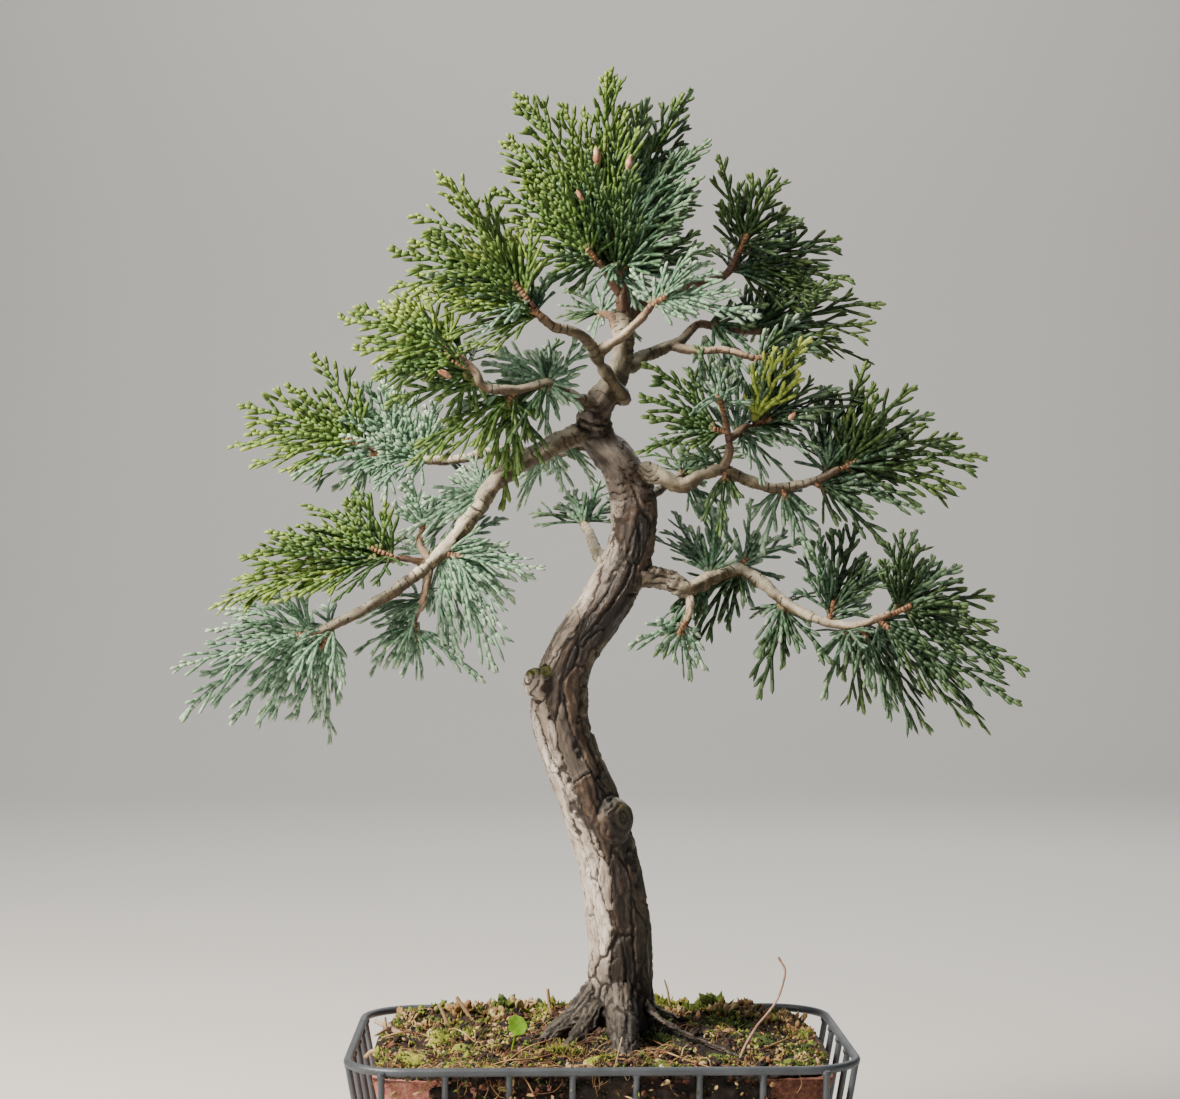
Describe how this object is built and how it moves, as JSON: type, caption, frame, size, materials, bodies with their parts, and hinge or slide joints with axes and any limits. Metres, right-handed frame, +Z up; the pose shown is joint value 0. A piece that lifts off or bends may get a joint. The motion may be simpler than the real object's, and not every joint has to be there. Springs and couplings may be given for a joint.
{
  "type": "hinoki cypress bonsai",
  "caption": "Small potted evergreen conifer with a curved trunk, flat fan-shaped foliage sprays, a rectangular clay tray of soil and a welded wire basket around the tray",
  "frame": {"origin": "under the middle of the basket, on the flat underside of its middle bottom wire", "axes": "+Z up, +X to the tree's right as seen from its front, +Y away from the front; the basket's long side lies along X"},
  "size_m": [0.334, 0.1583, 0.4703],
  "materials": {
    "coated_wire": "dark grey powder coat, slightly rough",
    "terracotta": "unglazed, weathered and granular",
    "soil": "moist crumbly soil with moss and rootlets",
    "bark": "fibrous bark in long pale plates",
    "foliage": "soft waxy scale leaves",
    "seedling": "soft living leaf",
    "dry_stem": "dry matte stem"
  },
  "bodies": {
    "root": {"wire_basket": "coated_wire", "clay_pot": "terracotta", "soil": "soil", "trunk_and_branches": "bark", "round_leaf": "seedling", "curled_stem": "dry_stem", "dry_twig": "dry_stem", "low_left_tip": "foliage", "low_left_under": "foliage", "left_green_tip": "foliage", "left_green_top": "foliage", "left_inner_up": "foliage", "left_inner_right": "foliage", "left_inner_low": "foliage", "left_back": "foliage", "mid_left_tip": "foliage", "mid_left_under": "foliage", "mid_left_top": "foliage", "mid_left_depth": "foliage", "upper_left_drop": "foliage", "upper_left_rear": "foliage", "left_pad_tip": "foliage", "left_pad_low": "foliage", "high_left_tip": "foliage", "high_left_low": "foliage", "crown_peak": "foliage", "crown_left": "foliage", "crown_right": "foliage", "crown_low_left": "foliage", "crown_low_right": "foliage", "crown_depth": "foliage", "top_back_tip": "foliage", "high_right_tip": "foliage", "high_right_low": "foliage", "upper_right_tip": "foliage", "upper_right_top": "foliage", "front_pale": "foliage", "upper_right_low": "foliage", "mid_right_left": "foliage", "mid_right_up": "foliage", "mid_right_far": "foliage", "mid_right_back": "foliage", "mid_right_drop": "foliage", "right_tip": "foliage", "right_top": "foliage", "right_under": "foliage", "right_inner": "foliage", "low_right_inner": "foliage", "low_right_back": "foliage", "low_right_left": "foliage", "low_right_hang": "foliage", "low_right_mid": "foliage", "low_right_tip": "foliage", "low_right_under": "foliage", "low_right_end": "foliage", "low_right_depth": "foliage", "rear_low": "foliage", "rear_high": "foliage", "rear_left": "foliage", "rear_right": "foliage"}
  },
  "joints": []
}
